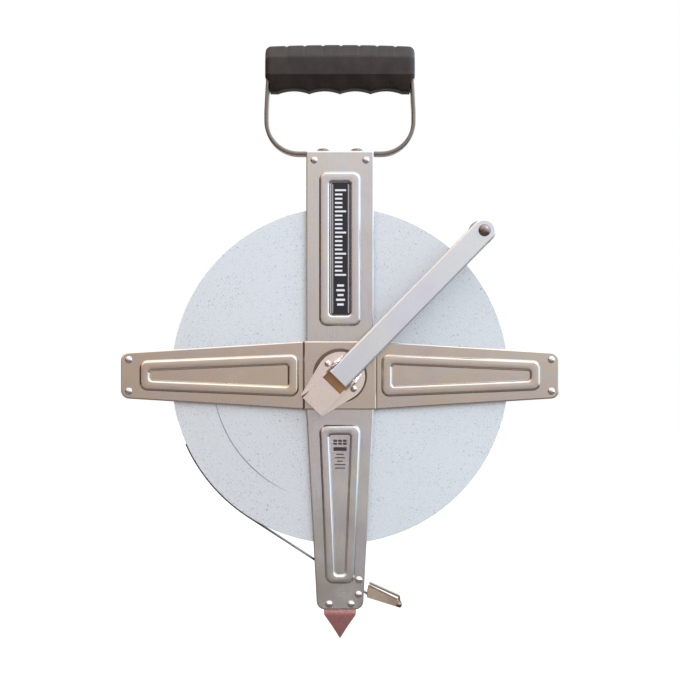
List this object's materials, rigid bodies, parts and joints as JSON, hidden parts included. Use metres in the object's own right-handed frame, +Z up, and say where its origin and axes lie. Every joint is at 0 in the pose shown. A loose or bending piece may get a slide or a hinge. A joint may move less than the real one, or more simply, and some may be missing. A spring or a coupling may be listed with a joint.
{
  "type": "surveyor tape reel",
  "caption": "Open-frame reel of surveyor's steel tape with a strap handle, fold-over winding crank, ground spike and end hook.",
  "frame": {"origin": "centre of the grip, where the hand holds the reel", "axes": "+Z up from the ground spike to the grip, +X to the right as the front is seen, the crank's side faces -Y; the reel turns about Y, 232 mm below the origin"},
  "size_m": [0.3312, 0.0508, 0.4503],
  "materials": {
    "frame_steel": "satin pressed stainless sheet",
    "bright_steel": "bright, polished",
    "crank_steel": "pale satin",
    "tape_coating": "satin nylon coating seen on edge, finely speckled",
    "bearing_nylon": "satin moulded",
    "aluminium": "satin machined",
    "grip_rubber": "fine grained matte moulding",
    "knob_plastic": "semi-gloss moulded",
    "label_film": "satin printed film",
    "hook_steel": "worn satin plate"
  },
  "bodies": {
    "frame": {"front_upright_plate": "frame_steel", "front_cross_plate": "frame_steel", "rear_upright_plate": "frame_steel", "rear_cross_plate": "frame_steel", "handle_strap": "frame_steel", "left_upper_rivet": "bright_steel", "left_lower_rivet": "bright_steel", "right_upper_rivet": "bright_steel", "right_lower_rivet": "bright_steel", "top_left_rivet": "bright_steel", "top_right_rivet": "bright_steel", "foot_left_rivet": "bright_steel", "foot_right_rivet": "bright_steel", "upper_guide_rivet": "bright_steel", "lower_guide_rivet": "bright_steel", "ground_spike": "bright_steel", "hook_pin": "bright_steel", "tape_end_rivet": "bright_steel", "handle_left_screw": "bright_steel", "handle_right_screw": "bright_steel", "handle_left_washer": "bright_steel", "handle_right_washer": "bright_steel", "handle_left_nut": "bright_steel", "handle_right_nut": "bright_steel", "tape_lead": "tape_coating", "front_bush": "bearing_nylon", "rear_bush": "bearing_nylon", "top_spacer": "aluminium", "left_upper_spacer": "aluminium", "left_lower_spacer": "aluminium", "right_upper_spacer": "aluminium", "right_lower_spacer": "aluminium", "handle_grip": "grip_rubber", "front_label": "label_film", "hook_body": "hook_steel"},
    "reel": {"hub_drum": "aluminium", "wound_tape": "tape_coating", "rear_retainer": "frame_steel", "upper_hub_rivet": "bright_steel", "lower_hub_rivet": "bright_steel", "crank_bracket": "frame_steel", "crank_hinge_pin": "bright_steel"},
    "crank": {"crank_arm": "crank_steel", "knob_washer": "bright_steel", "knob_spindle": "bright_steel"},
    "knob": {"crank_knob": "knob_plastic"},
    "claw": {"hook_claw": "hook_steel"},
    "upper_roller": {"upper_guide_roller": "bearing_nylon"},
    "lower_roller": {"lower_guide_roller": "bearing_nylon"}
  },
  "joints": [
    {"name": "reel_spin", "type": "hinge", "parent": "frame", "child": "reel", "pos_m": [0, 0, -0.2324], "axis": [0, -1, 0], "continuous": true},
    {"name": "crank_fold", "type": "hinge", "parent": "reel", "child": "crank", "pos_m": [0.0033, -0.0268, -0.23004], "axis": [0.7133, 0, -0.7009], "range_deg": [0, 180]},
    {"name": "knob_spin", "type": "hinge", "parent": "crank", "child": "knob", "pos_m": [0.10781, -0.005, -0.12369], "axis": [0, -1, 0], "continuous": true},
    {"name": "hook_swing", "type": "hinge", "parent": "frame", "child": "claw", "pos_m": [0.0445, 0, -0.406], "axis": [0, 1, 0], "range_deg": [0, 180]},
    {"name": "upper_roller_spin", "type": "hinge", "parent": "frame", "child": "upper_roller", "pos_m": [0.0142, 0, -0.3869], "axis": [0, -1, 0], "continuous": true},
    {"name": "lower_roller_spin", "type": "hinge", "parent": "frame", "child": "lower_roller", "pos_m": [0.0138, 0, -0.3979], "axis": [0, -1, 0], "continuous": true}
  ]
}
